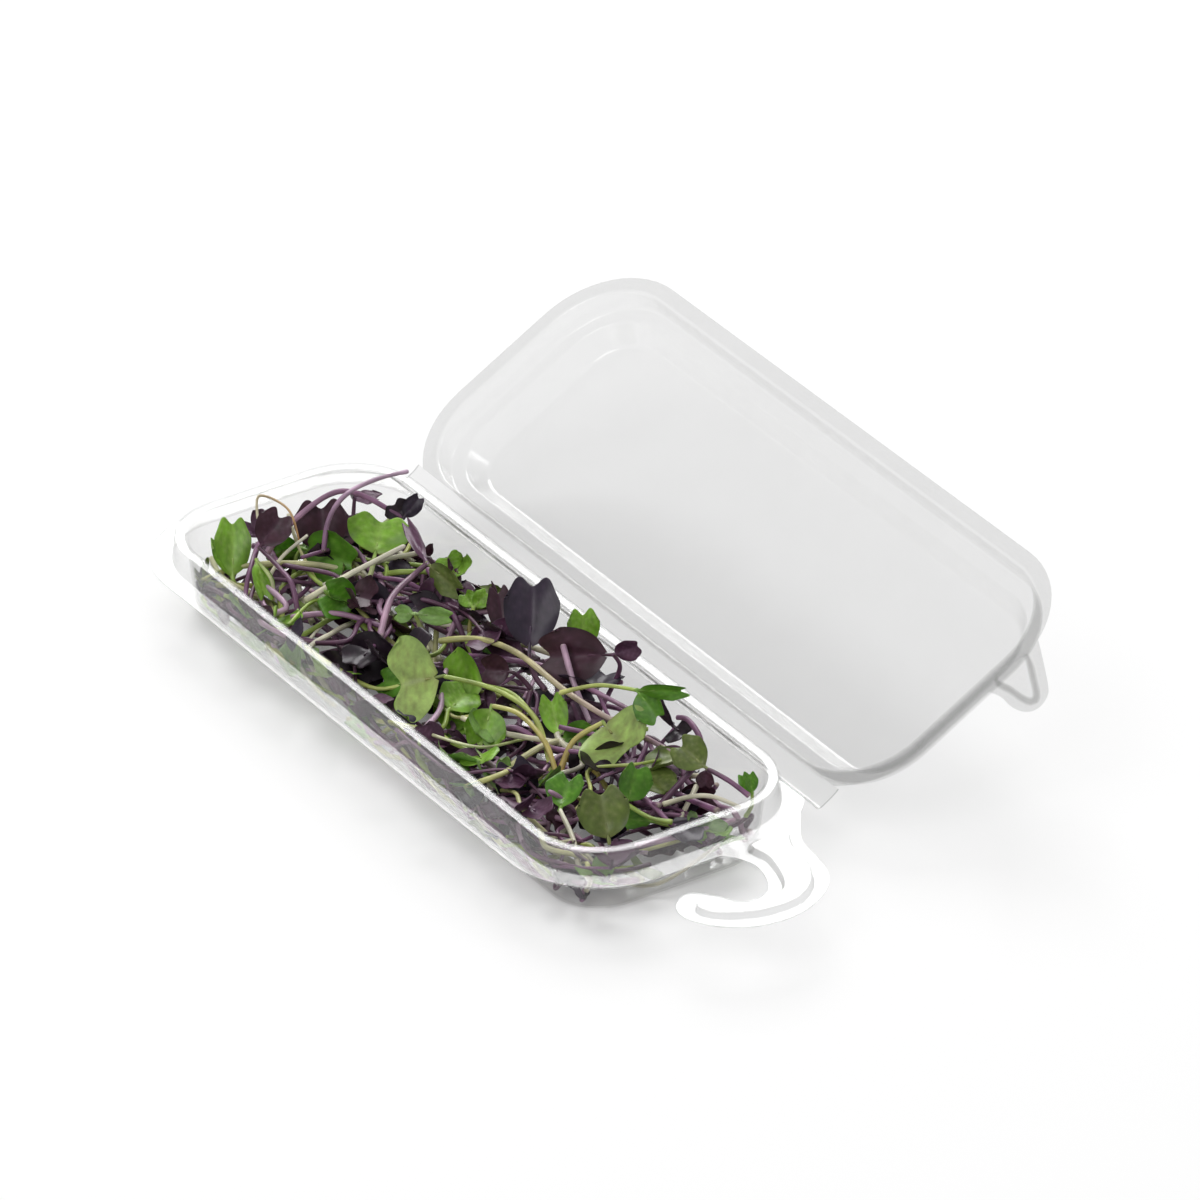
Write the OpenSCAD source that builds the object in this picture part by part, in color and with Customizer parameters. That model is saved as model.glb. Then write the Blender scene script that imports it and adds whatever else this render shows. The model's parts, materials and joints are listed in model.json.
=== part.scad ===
// Hinged clear tray of mixed radish sprouts, lid swung open
// Origin at the middle of the tray's underside, X towards the hang hook, Y towards the hinge, Z up

/* [Tray] */
// Length of the flange outline
tray_l = 180; // [160:1:210]
// Width of the flange outline
tray_w = 69.6; // [66:0.2:84]
// Corner radius of the flange outline
corner_r = 21.9; // [18:0.1:26]
// Height of the flange's underside above the base
tray_depth = 12; // [11:0.5:16]
// Height of the raised rim above the flange
rim_h = 5.4; // [4:0.1:7]
// Width of the flat top of the rim
rim_w = 3; // [2:0.1:4]
// Width of the flange outside the rim
flange_w = 5; // [4.5:0.1:6]
// How far the inner wall leans in on its way down to the base
wall_draft = 2; // [1:0.1:4]
// Thickness of the clear sheet
sheet_t = 0.4; // [0.3:0.05:0.5]

/* [Lid] */
// Depth of the lid from its flange to its panel
lid_depth = 10.3; // [8:0.1:14]
// Width of the ledge that sits on the tray's rim
ledge_w = 3.6; // [2.5:0.1:5]
// How far the lid's inner wall leans in from the ledge to the panel
lid_draft = 3.1; // [2:0.1:5]
// Angle that the lid is open from fully closed
lid_open = 151; // [90:1:172]
// Clearance between the closed lid and the tray
lid_gap = 0.25; // [0.15:0.05:0.5]
// Clearance beside the rim inside the closed lid
rim_fit = 0.4; // [0.3:0.05:0.8]

/* [Hinge] */
// Length of the folded hinge strip
hinge_l = 163; // [120:1:163]
// Depth of the hinge channel below the flange
hinge_drop = 3.3; // [2:0.1:5]
// Distance of the pivot line outside the flange outline
pivot_out = 0.4; // [0.2:0.1:0.8]
// Distance of the pivot line below the middle of the flange sheet
pivot_drop = 0.75; // [0.5:0.05:1]
// Gap that lets the lid turn past the hinge strip
hinge_gap = 0.1; // [0.05:0.05:0.3]

/* [Hook and tab] */
// Height of the stiffening bead on the hook
bead_h = 1.6; // [1:0.1:2.2]
// Clearance between the start of the bead and the lid's flange above it
bead_gap = 0.4; // [0.2:0.1:1]
// Height of the raised panel on the lid's tab
tab_emboss = 1.2; // [0.8:0.1:2]
// Points along each curved stretch between two given points
curve_steps = 4; // [2:1:8]

/* [Sprouts] */
// Diameter of a stem
stem_d = 1.8; // [1.2:0.1:2]
// Thickness of a leaf at its middle
leaf_t = 0.9; // [0.6:0.1:1.2]
// Room in each lane of the bed for the leaves and the next sprout
bed_spare = 18; // [17:1:28]
// Sideways sway of a stem in the bed
bed_sway = 2.5; // [0:0.5:3]

/* [Hidden] */
$fn = 96;
flange_mid = tray_depth + sheet_t / 2;
rim_in = flange_w + rim_w;
base_in = rim_in + wall_draft;
lid_wall_in = flange_w - sheet_t - rim_fit - lid_gap;
ledge_in = lid_wall_in + ledge_w + rim_fit;
panel_in = ledge_in + lid_draft;
lid_mid = flange_mid + sheet_t + lid_gap;
pivot_y = tray_w / 2 + pivot_out;
pivot_z = flange_mid - pivot_drop;
// Lines where the flanges of tray and lid end and the hinge strip begins
tray_edge_y = tray_w / 2 - flange_w + 0.3;
lid_edge_y = tray_w / 2 - lid_wall_in + 0.2;

// Depth and height of the middle of the sheet, from the flange's edge inwards
tray_line = [
    [0, flange_mid],
    [flange_w, flange_mid],
    [flange_w + 0.2, flange_mid + rim_h],
    [rim_in, flange_mid + rim_h],
    [base_in, sheet_t / 2],
    [corner_r, sheet_t / 2],
];
lid_line = [
    [0, lid_mid],
    [lid_wall_in, lid_mid],
    [lid_wall_in + 0.3, lid_mid + rim_h],
    [ledge_in, lid_mid + rim_h],
    [panel_in, lid_mid + lid_depth],
    [corner_r, lid_mid + lid_depth],
];

// Edges of the hook, from the end of the tray outwards
hook_outer = [[-9, 29.6], [-3.5, 25.6], [0.5, 23], [5, 20.8], [12, 19.8], [18, 18.2], [23, 14.2], [26.5, 8],
    [27.8, 1.5], [26.6, -6], [22.5, -12.3], [17, -16], [12.4, -16.1], [9, -13.2], [8.6, -9.9]];
hook_inner = [[8.6, -9.9], [12.5, -6.1], [16.8, -3.6], [18, 0.3], [16, 4.4], [11, 6.8], [6.5, 7.2],
    [2.5, 5.4], [-3, 2]];
bead_outer = [[-3, 19.6], [1.6, 18.9], [7, 17.2], [13, 16.4], [19, 14], [23, 10], [25, 4.5], [24.4, -3],
    [21.5, -9.5], [18, -12.8], [15, -13.4]];
bead_inner = [[-3, 8.4], [1.6, 9.2], [7, 9.8], [13, 8.6], [17.4, 6.8], [20, 4], [21.1, 0.5], [20.6, -3.6],
    [18.6, -6.8], [16.4, -8.6], [15, -10]];
tab_outline = [[-5, -23.5], [1.8, -18.9], [6.8, -16.1], [10.9, -13.7], [12.9, -11.8], [13.6, -9.1],
    [12.7, -7], [10.5, -5.8], [7.4, -5.4], [3.5, -5.7], [0.6, -5], [-5, -1.5]];
tab_panel = [[-2, -8.5], [3.3, -8.7], [9.2, -9], [10.2, -10.2], [0.8, -15.6], [-2, -16.4]];

leaf_green = [0.36, 0.55, 0.17];
leaf_dark = [0.17, 0.07, 0.15];
stem_green = [0.66, 0.72, 0.42];
stem_purple = [0.47, 0.24, 0.42];

// Bed of sprouts below the others: lanes across the tray and columns along it
bed_lanes = 4;
bed_columns = 2;
bed_count = bed_lanes * bed_columns;
bed_sprout_l = (tray_l - 2 * base_in) / bed_columns - bed_spare;

// Room beside the heap at the walls, and the length and width of the heap in the points below
heap_margin = 2;
heap_l = 156;
heap_w = 45.6;

// Colour, stems from root to fork, and leaves as stem number, tip, width and roll, set by hand
green = 0;
red = 1;
shown = [
    // Left end
    [green, [[[-65, -12, 2], [-67, -16, 5], [-69, -17, 7]]],
        [[0, [-77, -12, 18], 8, 5], [0, [-78, -16, 13], 7, 15]]],
    [red, [[[-45, -15, 5.5], [-51, -13, 13], [-58, -12, 14], [-66, -12, 15]]], [[0, [-69, -4, 20], 8, 35]]],
    [green, [[[-73, -8, 17.5], [-77, -5, 20.5], [-70, -2, 19.5], [-64, -3, 14.5]]], []],
    [red, [[[-70, -8, 10], [-70, -1, 16], [-68, 11, 21], [-58, 20, 16]]],
        [[0, [-61, 19, 19], 6, -40], [0, [-57, 24, 21], 4, 55]]],
    [red, [[[-59, 0, 13.5], [-63, 4, 18.5], [-64, 9, 22.5], [-66, 18, 22.5], [-65, 26, 22.5]]], []],
    [red, [[[-59, 14, 4.5], [-61, 8, 7], [-64, 3, 9]]],
        [[0, [-71, 7, 19], 12, -5], [0, [-68, 13, 16], 12, 10]]],
    [green, [[[-46, 1, 7.5], [-48, 5, 11.5], [-51, 8, 13.5]]], [[0, [-57, 14, 19.5], 14, 10]]],
    [red, [[[-24, -8, 12], [-32, 0, 15], [-36, 8, 16], [-36, 12, 18]]],
        [[0, [-54, 17, 20], 3, -25], [0, [-25, 14, 15], 6, 70]]],
    [red, [[[-42, 16, 12.5], [-33, 14, 11.5], [-22, 11, 9.5], [-17, 10, 6.5]]], []],
    [green, [[[-48, -12, 10.5], [-46, -3, 14.5], [-43, 11, 19.5]]], []],
    [green, [[[-61, -13, 10], [-63, -8, 13], [-62, -2, 17]]], []],
    [green, [[[-75, 1, 15], [-66, -2, 12], [-57, -3, 8]]], []],
    [green, [[[-65, -4, 6], [-67, -2, 9], [-68, 0, 10]]], [[0, [-52, 4, 12], 12, 65]]],
    [green, [[[-56, -15, 7.5], [-58, -14, 11.5], [-64, -14, 13.5]]], [[0, [-55, -17, 8.5], 5, -15]]],
    [red, [[[-46, -17, 9], [-40, -8, 10], [-27, -2, 10]]], []],
    [green, [[[-19, 1, 8], [-23, 2, 11], [-24, 1, 15]]],
        [[0, [-28, -2, 14], 4, -60], [0, [-18, 7, 15], 4, 60]]],
    [red, [[[-27, 6, 5], [-34, 6, 8], [-38, 5, 10]]], [[0, [-45, -4, 10], 9, -60]]],
    [red, [[[-47, -14, 3.5], [-40, -12, 5.5], [-30, -13, 7.5]]], [[0, [-17, -9, 9.5], 11, 60]]],
    // Middle
    [green, [[[39, -4, 2], [29, 0, 8], [20, 2, 12], [10, -1, 14], [1, -8, 15]],
            [[20, 2, 12], [11, 3, 12], [4, 1, 11]]],
        [[0, [-6, -17, 12], 20, -60], [1, [-7, -3, 8], 15, -60]]],
    [green, [[[40, -11, 5], [39, -4, 8], [36, 2, 13], [37, 9, 16]],
            [[39, -4, 8], [33, -3, 13], [23, -3, 15], [17, -6, 15]]],
        [[0, [47, 9, 13], 17, 35], [1, [21, -12, 8], 9, -20]]],
    [green, [[[5, -21, 9.5], [17, -19, 11.5], [25, -14, 11.5], [23, -3, 8.5], [20, 6, 5.5]]], []],
    [red, [[[12, 11, 10.5], [7, 11, 12.5], [4, 12, 15.5]]], [[0, [-5, 19, 28.5], 12, 5]]],
    [red, [[[-10, 19, 4.5], [-12, 18, 6.5], [-13, 17, 8.5]]], [[0, [-21, 20, 17.5], 6, -5]]],
    [green, [[[12, 21, 11.5], [12, 21, 14.5], [12, 21, 17.5]]],
        [[0, [8, 23, 25.5], 7, -5], [0, [7, 18, 20.5], 4, -50]]],
    [red, [[[20, 19, 6.5], [20, 22, 10.5], [21, 24, 16.5], [20, 23, 19.5]]],
        [[0, [6, 13, 15.5], 12, -60], [0, [25, 27, 23.5], 5, 90]]],
    [green, [[[26, 5, 19], [32, 11, 22], [41, 15, 24]]],
        [[0, [57, 18, 31], 4, 100], [0, [49, 16, 20], 7, 55]]],
    [red, [[[-18, 3, 10.5], [-11, 9, 12.5], [3, 10, 15.5], [21, 9, 16.5], [33, 11, 15.5], [42, 15, 13.5],
            [51, 19, 11.5]]], []],
    [red, [[[11, 16, 20], [18, 14, 15], [26, 13, 9]]], []],
    [red, [[[14, 17, 12], [26, 17, 14], [36, 19, 14]]], []],
    // Right end
    [red, [[[73, -6, 8], [72, -9, 9], [71, -12, 11]]], [[0, [64, -10, 21], 11, -15]]],
    [green, [[[71, 4, 10.5], [67, 1, 10.5], [61, -1, 11.5]]], [[0, [58, 4, 18.5], 8, 50]]],
    [red, [[[62, 4, 7], [62, 10, 11.5], [62, 16, 16.5], [59, 19, 19.5], [53, 20, 21], [50, 19, 20.5]]], []],
    [red, [[[76, 20, 14], [71, 18, 16], [66, 16, 17]]], [[0, [57, 14, 20], 8, -40], [0, [67, 15, 13], 4, 5]]],
    [green, [[[73, 21, 7], [74, 22, 10], [74, 22, 13]]],
        [[0, [70, 22, 16], 3, -35], [0, [73, 22, 18], 3, -15]]],
    [green, [[[67, 11, 5], [66, 7, 6], [64, 4, 7]]], [[0, [60, -5, 9], 4, -60]]],
    [red, [[[46, -13, 1.5], [44, -13, 2.5], [41, -13, 3.5]]], [[0, [34, -13, 13.5], 9, -25]]],
    [red, [[[65, -18, 8], [70, -9, 8], [73, 4, 8], [74, 18, 8]]], []],
    [green, [[[74, -20, 3], [73, -15, 8.5], [74, -10, 12.5]]], []],
    [red, [[[52, 13, 1.5], [53, 14, 2.5], [55, 16, 3.5]]], [[0, [63, 21, 6.5], 7, 65]]],
    [green, [[[64, 6, 10.5], [66, 12, 11.5], [69, 16, 11.5], [73, 20, 9.5]]], []],
    // Between and below the others
    [green, [[[23, -15, 9.5], [32, -14, 9.5]]], []],
    [green, [[[-17, 11, 1.5], [-21, 13, 8.5], [-24, 16, 11.5]]],
        [[0, [-24, 20, 14.5], 4, 45], [0, [-28, 16, 13.5], 4, -30]]],
    [green, [[[-8, 20, 1.5], [-8, 17, 7.5], [-10, 16, 8.5]]], [[0, [-16, 13, 10.5], 7, -50]]],
    [red, [[[8, 10, 9], [6, 9, 11], [5, 7, 13]]], [[0, [0, 2, 13], 7, -60]]],
    [green, [[[29, 5, 4], [28, 4, 7], [28, 4, 9]]],
        [[0, [18, 8, 14], 6, -10], [0, [34, 10, 10], 8, 60]]],
    [green, [[[31, 3, 6], [38, 5, 7], [49, 3, 6], [55, 2, 2]]], []],
    [red, [[[51, -15, 3], [48, -11, 7], [43, -5, 10]]], []],
];

// Point at place s along a smooth curve through the given points
function along(points, s) =
    let (n = len(points) - 1, i = min(floor(s), n - 1), f = s - i,
        a = points[max(i - 1, 0)], b = points[i], c = points[i + 1], d = points[min(i + 2, n)])
    0.5 * (2 * b + (c - a) * f + (2 * a - 5 * b + 4 * c - d) * f * f + (3 * b - a - 3 * c + d) * f * f * f);
function smooth(points, steps) =
    [for (k = [0:(len(points) - 1) * steps]) along(points, k / steps)];
function backwards(points) = [for (i = [len(points) - 1:-1:0]) points[i]];
function unit(v) = v / norm(v);
function side_of(points, i) =
    let (t = unit(points[min(i + 1, len(points) - 1)] - points[max(i - 1, 0)])) [-t[1], t[0]];
// Mitred offset of an open line, to one side
function shifted(points, d) =
    [for (i = [0:len(points) - 1])
        let (a = unit(points[max(i, 1)] - points[max(i, 1) - 1]),
            b = unit(points[min(i + 1, len(points) - 1)] - points[min(i + 1, len(points) - 1) - 1]),
            m = unit([-a[1] - b[1], a[0] + b[0]]))
        points[i] + m * d / (m * [-a[1], a[0]])];
// Outline of a sheet of thickness t that follows an open line
function sheet(points, t) = concat(shifted(points, t / 2), backwards(shifted(points, -t / 2)));
// Turns a point of the Y and Z plane about the pivot line
function about_pivot(p, angle) =
    let (v = p - [pivot_y, pivot_z])
    [pivot_y + v[0] * cos(angle) - v[1] * sin(angle), pivot_z + v[0] * sin(angle) + v[1] * cos(angle)];

// Closed pan whose wall follows a line from the flange's edge to the middle
module pan(line) {
    section = sheet(line, sheet_t);
    straight_x = tray_l - 2 * corner_r;
    straight_y = tray_w - 2 * corner_r;
    for (sx = [-1, 1])
        for (sy = [-1, 1])
            translate([sx * straight_x / 2, sy * straight_y / 2, 0])
                rotate([0, 0, sx > 0 ? (sy > 0 ? 0 : -90) : (sy > 0 ? 90 : 180)])
                    rotate_extrude(angle = 90)
                        polygon([for (p = section) [corner_r - p[0], p[1]]]);
    for (s = [0, 180])
        rotate([0, 0, s])
            translate([straight_x / 2, straight_y / 2, 0])
                rotate([90, 0, 0])
                    linear_extrude(straight_y)
                        polygon([for (p = section) [corner_r - p[0], p[1]]]);
    translate([-straight_x / 2, 0, 0])
        rotate([90, 0, 90])
            linear_extrude(straight_x)
                polygon(concat(
                    [for (p = shifted(line, sheet_t / 2)) [tray_w / 2 - p[0], p[1]]],
                    backwards([for (p = shifted(line, sheet_t / 2)) [p[0] - tray_w / 2, p[1]]]),
                    [for (p = shifted(line, -sheet_t / 2)) [p[0] - tray_w / 2, p[1]]],
                    backwards([for (p = shifted(line, -sheet_t / 2)) [tray_w / 2 - p[0], p[1]]])));
}

// Removes what lies beyond the line where the hinge strip starts
module trim_at(y) {
    difference() {
        children();
        translate([-tray_l, y, 0])
            cube([2 * tray_l, tray_w, 3 * tray_depth]);
    }
}

// Outline of the flange, grown outwards, or inwards where grow is negative
module flange_outline(grow) {
    straight_x = tray_l - 2 * corner_r;
    straight_y = tray_w - 2 * corner_r;
    for (sx = [-1, 1])
        for (sy = [-1, 1])
            translate([sx * straight_x / 2, sy * straight_y / 2])
                circle(corner_r + grow);
    square([tray_l + 2 * grow, straight_y], center = true);
    square([straight_x, tray_w + 2 * grow], center = true);
}

// Flat hook with a hollow bead pressed up along its middle
module hook() {
    outer = smooth(bead_outer, curve_steps);
    inner = smooth(bead_inner, curve_steps);
    hollow_outer = [for (i = [0:len(outer) - 1]) outer[i] - side_of(outer, i) * sheet_t];
    hollow_inner = [for (i = [0:len(inner) - 1]) inner[i] + side_of(inner, i) * sheet_t];
    translate([tray_l / 2, 0, tray_depth])
        difference() {
            union() {
                linear_extrude(sheet_t)
                    difference() {
                        polygon(concat(smooth(hook_outer, curve_steps), smooth(hook_inner, curve_steps)));
                        translate([-tray_l / 2, 0])
                            flange_outline(-flange_w);
                    }
                linear_extrude(bead_h + sheet_t)
                    difference() {
                        polygon(concat(outer, backwards(inner)));
                        translate([-tray_l / 2, 0])
                            flange_outline(bead_gap);
                    }
            }
            translate([0, 0, -sheet_t])
                linear_extrude(bead_h + sheet_t)
                    difference() {
                        polygon(concat(hollow_outer, backwards(hollow_inner)));
                        translate([-tray_l / 2, 0])
                            flange_outline(bead_gap + sheet_t);
                    }
        }
}

// Lift tab of the lid with a raised panel
module tab() {
    translate([tray_l / 2, 0, lid_mid - sheet_t / 2]) {
        linear_extrude(sheet_t)
            difference() {
                polygon(smooth(tab_outline, curve_steps));
                translate([-tray_l / 2, 0])
                    flange_outline(-lid_wall_in);
            }
        linear_extrude(tab_emboss + sheet_t)
            polygon(tab_panel);
    }
}

module tray() {
    color([0.9, 0.93, 0.93, 0.4])
        trim_at(tray_edge_y) {
            pan(tray_line);
            hook();
        }
}

// The lid as it sits when closed, swung open about the pivot line
module lid() {
    color([0.9, 0.93, 0.93, 0.4])
        translate([0, pivot_y, pivot_z])
            rotate([-lid_open, 0, 0])
                translate([0, -pivot_y, -pivot_z])
                    trim_at(lid_edge_y) {
                        pan(lid_line);
                        tab();
                    }
}

// Folded strip between the two flanges, open side up
module living_hinge() {
    lid_side = about_pivot([lid_edge_y + hinge_gap, lid_mid], -lid_open);
    low_y = (tray_edge_y + lid_side[0]) / 2 - 0.4;
    line = [
        [tray_edge_y, flange_mid],
        [tray_edge_y + 0.6, flange_mid],
        [tray_edge_y + 2.2, flange_mid - 0.3 * hinge_drop],
        [low_y, flange_mid - hinge_drop],
        [low_y + 2, flange_mid - 0.8 * hinge_drop],
        [lid_side[0] - 1.2, flange_mid - 0.4 * hinge_drop],
        lid_side,
    ];
    color([0.9, 0.93, 0.93, 0.4])
        translate([-hinge_l / 2, 0, 0])
            rotate([90, 0, 90])
                linear_extrude(hinge_l)
                    polygon(sheet(line, sheet_t));
}

// Closed skin over rings that all have the same number of points
module skin(rings) {
    n = len(rings[0]);
    last = len(rings) - 1;
    polyhedron(
        points = [for (r = rings) for (p = r) p],
        faces = concat(
            [[for (i = [0:n - 1]) i]],
            [[for (i = [n - 1:-1:0]) last * n + i]],
            [for (k = [0:last - 1]) for (i = [0:n - 1])
                [k * n + i, (k + 1) * n + i, (k + 1) * n + (i + 1) % n]],
            [for (k = [0:last - 1]) for (i = [0:n - 1])
                [k * n + i, (k + 1) * n + (i + 1) % n, k * n + (i + 1) % n]]));
}

// Direction across a leaf that points along t, level at roll 0
function leaf_across(t, roll) =
    let (u = unit(cross([0, 0, 1], t)))
    u * cos(roll) + cross(t, u) * sin(roll);

// Stem through its points, six-sided
module stem(points) {
    spans = len(points) - 1;
    steps = 2 * spans + 2;
    path = [for (k = [0:steps]) along(points, k * spans / steps)];
    skin([for (k = [0:steps])
        let (t = unit(path[min(k + 1, steps)] - path[max(k - 1, 0)]),
            u = unit(cross([0.1, 0.2, 1], t)), v = cross(t, u))
        [for (i = [0:5]) path[k] + (u * cos(60 * i) + v * sin(60 * i)) * stem_d / 2]]);
}

// Place along a seed leaf, half width and lift of the edges: stalk, shoulders, belly and tip
leaf_rings = [[-0.05, 0.1, 0], [0.2, 0.12, 0], [0.32, 0.68, 0.06], [0.6, 1, 0.16], [0.85, 0.92, 0.16],
    [1, 0.5, 0.08]];

// Seed leaf with a fold along its middle
module leaf(foot, tip, width, roll) {
    t = unit(tip - foot);
    u = leaf_across(t, roll);
    v = cross(t, u);
    skin([for (r = leaf_rings)
        let (c = foot + (tip - foot) * r[0], w = max(r[1] * width / 2, 0.5), rise = r[2] * width / 2)
        [
            c + u * w + v * rise,
            c + u * w * 0.5 + v * (rise * 0.6 + leaf_t / 2),
            c + v * leaf_t / 2,
            c - u * w * 0.5 + v * (rise * 0.6 + leaf_t / 2),
            c - u * w + v * rise,
            c - v * leaf_t / 2,
        ]]);
}

// Point of the heap, moved with the inside of the tray
function placed(p) =
    [p[0] * (tray_l - 2 * (base_in + heap_margin)) / heap_l,
        p[1] * (tray_w - 2 * (base_in + heap_margin)) / heap_w, p[2]];
function placed_row(row) = [
    row[0],
    [for (path = row[1]) [for (p = path) placed(p)]],
    [for (a = row[2]) [a[0], placed(a[1]), a[2], a[3]]],
];

// A sprout: its colour, its stems, and its leaves given by stem, tip, width and roll
module sprout(row) {
    color(row[0] == red ? stem_purple : stem_green)
        for (path = row[1])
            stem(path);
    color(row[0] == red ? leaf_dark : leaf_green)
        for (a = row[2])
            leaf(row[1][a[0]][len(row[1][a[0]]) - 1], a[1], a[2], a[3]);
}

// Sprout number i of the bed, lying in its lane
function bed_row(i) =
    let (lane = floor(i / bed_columns),
        column = i % bed_columns,
        way = lane % 2 == 0 ? 1 : -1,
        lane_w = (tray_w - 2 * base_in - 10) / bed_lanes,
        x_mid = (column - 0.5) * (bed_sprout_l + 14) - way * 6,
        y = (lane - (bed_lanes - 1) / 2) * lane_w - 1,
        z = sheet_t + stem_d / 2 + 0.1,
        sway = bed_sway * (column == 0 ? 1 : -1),
        x0 = x_mid - way * bed_sprout_l / 2,
        x1 = x_mid + way * bed_sprout_l / 2)
    [i % 3 == 0 ? green : red,
        [[[x0, y, z], [x_mid - way * 8, y + sway, z], [x1 - way * 12, y, z], [x1, y, z + 1.6]]],
        [for (side = [-1, 1]) [0, [x1 + way * 9.3, y + side * 3.8, z + 1.6], 9, 0]]];

tray();
living_hinge();
lid();
for (i = [1:len(shown)])
    sprout(placed_row(shown[i - 1]));
for (i = [1:bed_count])
    sprout(bed_row(i - 1));
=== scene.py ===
# Open clear tray of radish sprouts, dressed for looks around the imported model
import json
import math
import random

import bmesh
import bpy
from mathutils import Matrix, Vector
from mathutils.geometry import delaunay_2d_cdt


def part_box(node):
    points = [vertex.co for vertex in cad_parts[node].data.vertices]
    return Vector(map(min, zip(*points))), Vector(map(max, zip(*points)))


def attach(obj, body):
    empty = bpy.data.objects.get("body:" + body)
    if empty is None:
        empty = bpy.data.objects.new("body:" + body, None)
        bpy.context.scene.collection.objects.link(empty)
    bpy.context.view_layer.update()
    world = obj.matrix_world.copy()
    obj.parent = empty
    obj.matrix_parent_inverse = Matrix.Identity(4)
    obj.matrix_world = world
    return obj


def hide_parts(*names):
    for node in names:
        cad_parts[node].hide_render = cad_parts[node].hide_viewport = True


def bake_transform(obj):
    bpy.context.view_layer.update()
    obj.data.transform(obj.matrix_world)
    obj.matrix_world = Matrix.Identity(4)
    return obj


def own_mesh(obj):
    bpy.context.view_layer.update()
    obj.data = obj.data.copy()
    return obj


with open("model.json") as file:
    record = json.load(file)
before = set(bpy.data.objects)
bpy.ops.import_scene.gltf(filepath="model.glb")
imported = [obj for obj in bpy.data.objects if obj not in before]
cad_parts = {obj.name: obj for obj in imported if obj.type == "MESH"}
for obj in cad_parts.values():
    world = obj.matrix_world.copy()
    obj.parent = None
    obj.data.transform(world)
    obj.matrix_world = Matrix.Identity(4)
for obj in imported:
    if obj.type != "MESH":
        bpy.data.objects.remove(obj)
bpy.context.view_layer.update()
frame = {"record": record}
scene = bpy.context.scene
MM = 0.001

# Sizes of the container in millimetres, from the frame where it has them
tray_low, tray_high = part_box("tray")
hinge_joint = frame["record"]["behaviour"]["joints"][0]
SHEET_T = 0.4
HALF_L = -tray_low.x / MM
HALF_W = -tray_low.y / MM
CORNER_R = 21.9
RIM_Z = tray_high.z / MM - SHEET_T / 2
FLANGE_Z = 12.2
LID_Z = 12.85
LID_LEDGE_Z = 18.25
LID_PANEL_Z = 23.15
PIVOT_Y = hinge_joint["pos_m"][1] / MM
PIVOT_Z = hinge_joint["pos_m"][2] / MM
LID_OPEN = hinge_joint["range_deg"][1]
TRAY_CUT = 30.9
LID_CUT = 31.6
HINGE_HALF_L = 81.3
ARC_STEPS = 14
LONG_STEPS = 16
SHORT_STEPS = 4
SPLICE_GAP = 0.4
CRISP_ANGLE = 50

# Depth and height of the sheet from the flange inwards, with the radius of each bend
TRAY_BENDS = [(3.9, FLANGE_Z, 0), (5.0, FLANGE_Z, 0.4), (5.2, RIM_Z, 0.6), (8.0, RIM_Z, 0.7),
              (10.0, 0.25, 2.6), (14.5, 0.25, 0)]
LID_BENDS = [(3.2, LID_Z, 0), (3.95, LID_Z, 0.4), (4.25, LID_LEDGE_Z, 0.6), (7.95, LID_LEDGE_Z, 0.5),
             (11.05, LID_PANEL_Z, 1.3), (15.0, LID_PANEL_Z, 0)]
BEAD_STEPS = [(0, 0), (0.12, 0.1), (0.25, 0.7), (0.4, 1.35), (0.6, 1.55), (0.9, 1.6)]
TAB_STEPS = [(0, 0), (0.12, 0.1), (0.25, 0.6), (0.4, 1.05), (0.6, 1.18), (0.9, 1.2)]

# Edges of the hook and of the tab, from the end of the tray outwards
HOOK_EDGE = [(0, 3.4), (2.5, 5.4), (6.5, 7.2), (11, 6.8), (16, 4.4), (18, 0.3), (16.8, -3.6), (12.5, -6.1),
             (8.6, -9.9), (9, -13.2), (12.4, -16.1), (17, -16), (22.5, -12.3), (26.6, -6), (27.8, 1.5),
             (26.5, 8), (23, 14.2), (18, 18.2), (12, 19.8), (5, 20.8), (0.5, 23), (-3.4, 25.9)]
BEAD_EDGE = [(1.2, 9.3), (1.2, 18.9), (7, 17.2), (13, 16.4), (19, 14), (23, 10), (25, 4.5), (24.4, -3),
             (21.5, -9.5), (18, -12.8), (15, -13.4), (13.6, -11.8), (15, -10), (16.4, -8.6), (18.6, -6.8),
             (20.6, -3.6), (21.1, 0.5), (20, 4), (17.4, 6.8), (13, 8.6), (7, 9.8)]
TAB_EDGE = [(-1.4, -20.6), (1.8, -18.9), (6.8, -16.1), (10.9, -13.7), (12.9, -11.8), (13.6, -9.1), (12.7, -7),
            (10.5, -5.8), (7.4, -5.4), (3.5, -5.7), (0, -5)]
TAB_PANEL = [(-1.6, -8.7), (-1.6, -15.6), (0.8, -15.4), (5.4, -12.9), (9.9, -10.3), (9.2, -9), (3.3, -8.7)]

# Stem colours as red, green and blue of the screen
STEMS = {
    "p": (142, 98, 134),
    "v": (92, 58, 80),
    "k": (188, 152, 176),
    "l": (212, 184, 208),
    "c": (224, 220, 190),
    "y": (204, 206, 124),
    "g": (168, 194, 96),
    "o": (200, 146, 84),
    "w": (238, 234, 216),
}
# Leaf colours: upper side, lower side, veins
LEAVES = {
    "bright": ((128, 178, 52), (166, 202, 98), (176, 208, 110)),
    "deep": ((86, 142, 34), (136, 178, 76), (126, 172, 70)),
    "pale": ((186, 214, 124), (128, 180, 60), (150, 150, 92)),
    "soft": ((136, 178, 92), (164, 200, 122), (164, 194, 124)),
    "olive": ((104, 122, 56), (146, 164, 90), (146, 154, 96)),
    "dark": ((40, 28, 40), (62, 44, 58), (64, 44, 60)),
    "slate": ((52, 42, 60), (72, 58, 78), (78, 62, 82)),
    "maroon": ((70, 38, 52), (88, 56, 74), (96, 62, 82)),
    "plum": ((96, 60, 86), (76, 48, 68), (128, 96, 124)),
}

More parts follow.
